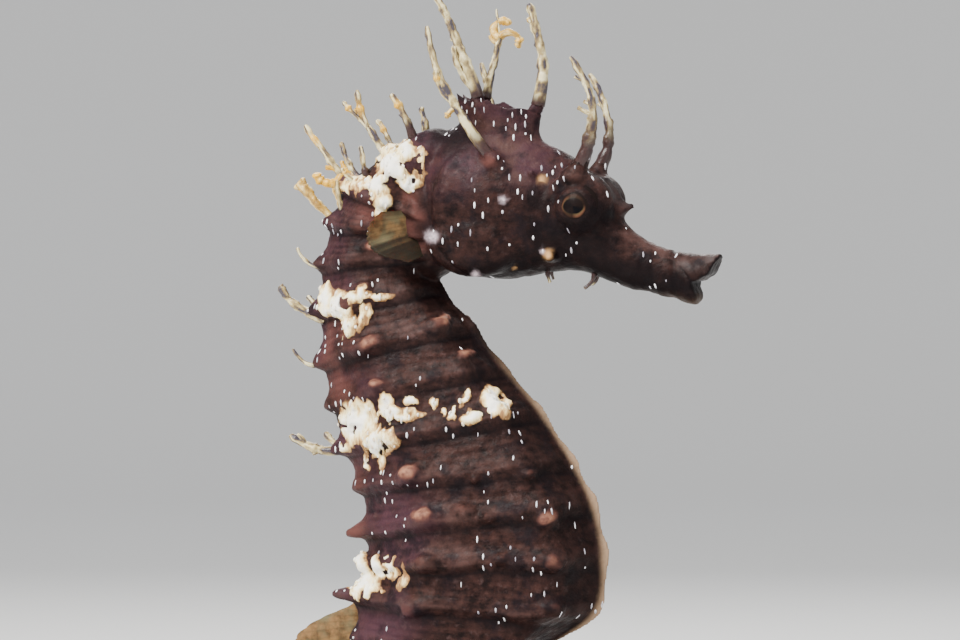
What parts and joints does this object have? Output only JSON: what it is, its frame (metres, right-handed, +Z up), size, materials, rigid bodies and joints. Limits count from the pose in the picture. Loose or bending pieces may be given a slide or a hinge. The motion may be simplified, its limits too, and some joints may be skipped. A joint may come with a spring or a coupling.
{
  "type": "seahorse model",
  "caption": "Life-size still model of a long-snouted seahorse with a crown and skin filaments, its tail coiled forward, on a low round stand with a rod.",
  "frame": {"origin": "centre of the stand's underside, on the floor", "axes": "+X the way the snout points, +Z up, -Y the animal's right side; the animal is alike on both sides of the XZ plane apart from its skin filaments"},
  "size_m": [0.068, 0.068, 0.1158],
  "materials": {
    "skin": "wet, half glossy, dark purple-brown, with cream patches and fine white dots",
    "filament": "thin, whitish and banded, purple at the root",
    "fin": "thin ribbed web, olive and translucent",
    "eye": "glossy dark brown with a narrow golden ring round a black pupil",
    "stand_base": "dark, satin",
    "stand_rod": "satin"
  },
  "bodies": {
    "root": {"anal_fin": "fin", "back_filament_0_left": "filament", "back_filament_0_right": "filament", "back_filament_1_left": "filament", "back_filament_1_right": "filament", "back_filament_2_left": "filament", "back_filament_2_right": "filament", "back_filament_4_left": "filament", "back_filament_4_right": "filament", "back_filament_7_left": "filament", "back_filament_7_right": "filament", "coronet": "skin", "coronet_filament_front": "filament", "coronet_filament_rear_left": "filament", "coronet_filament_rear_right": "filament", "coronet_filament_side_left": "filament", "coronet_filament_side_right": "filament", "dorsal_fin": "fin", "eye_filament_left": "filament", "eye_filament_right": "filament", "eye_left": "eye", "eye_right": "eye", "head": "skin", "lower_jaw": "skin", "nape_filament_left": "filament", "nape_filament_right": "filament", "neck": "skin", "pectoral_fin_left": "fin", "pectoral_fin_right": "fin", "snout": "skin", "stand_base": "stand_base", "stand_rod": "stand_rod", "tail_base": "skin", "tail_curl": "skin", "tail_middle": "skin", "tail_tip": "skin", "trunk": "skin"}
  },
  "joints": []
}
